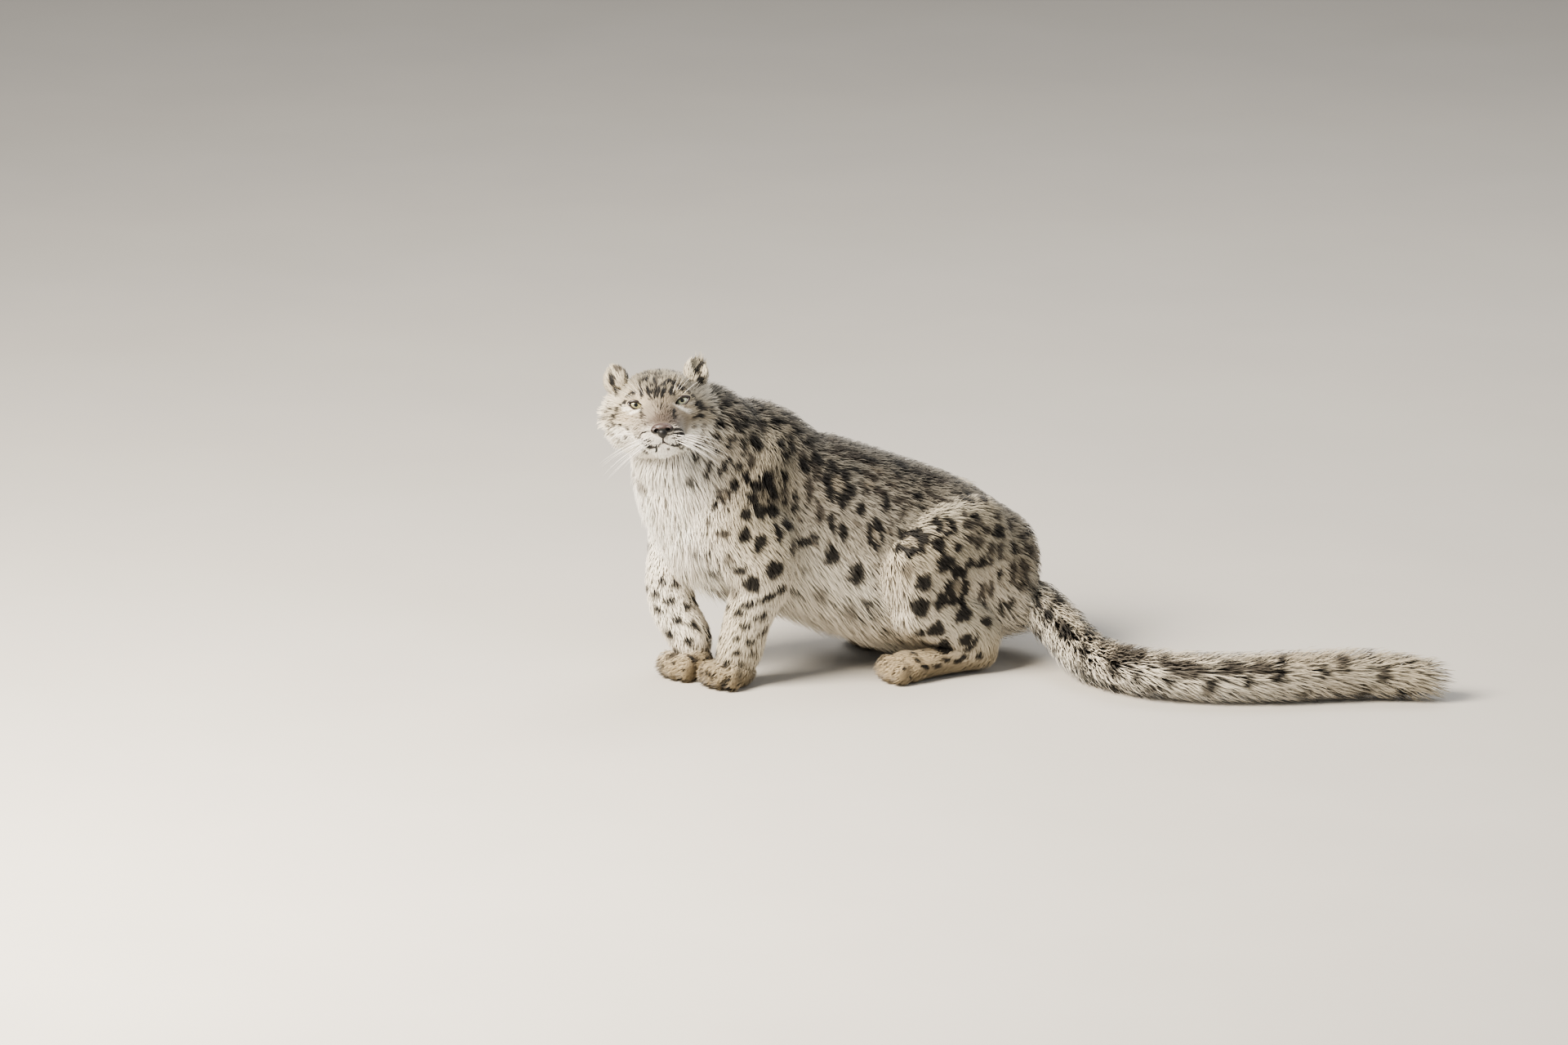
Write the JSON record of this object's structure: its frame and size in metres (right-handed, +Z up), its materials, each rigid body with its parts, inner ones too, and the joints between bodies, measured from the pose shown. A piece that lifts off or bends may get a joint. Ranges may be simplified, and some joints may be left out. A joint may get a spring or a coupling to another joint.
{
  "type": "snow leopard",
  "caption": "Life-size snow leopard, crouched with its hind legs folded, head turned to its left and the long bushy tail swept round on the ground.",
  "frame": {"origin": "middle of the bottom of the bounding box, on the floor that the animal rests on", "axes": "-X towards the head end, +X towards the rump and tail, -Y to the animal's left, +Z up"},
  "size_m": [1.3968, 0.7482, 0.5856],
  "materials": {
    "coat": "thick soft fur, pale cream to smoky grey with dark rosettes",
    "nose_skin": "fine-grained bare nose skin",
    "eye": "wet, smooth, pale grey-green iris with a round black pupil"
  },
  "bodies": {
    "root": {"eye_left": "eye", "eye_right": "eye", "nose": "nose_skin", "ear_left": "coat", "ear_right": "coat", "shoulder_left": "coat", "forepaw_left": "coat", "forearm_left": "coat", "shoulder_right": "coat", "forepaw_right": "coat", "forearm_right": "coat", "thigh_left": "coat", "hind_foot_left": "coat", "shank_left": "coat", "thigh_right": "coat", "hind_foot_right": "coat", "shank_right": "coat", "head": "coat", "neck": "coat", "chest": "coat", "belly": "coat", "rump": "coat", "tail_1": "coat", "tail_2": "coat", "tail_3": "coat", "tail_4": "coat", "tail_5": "coat"}
  },
  "joints": []
}
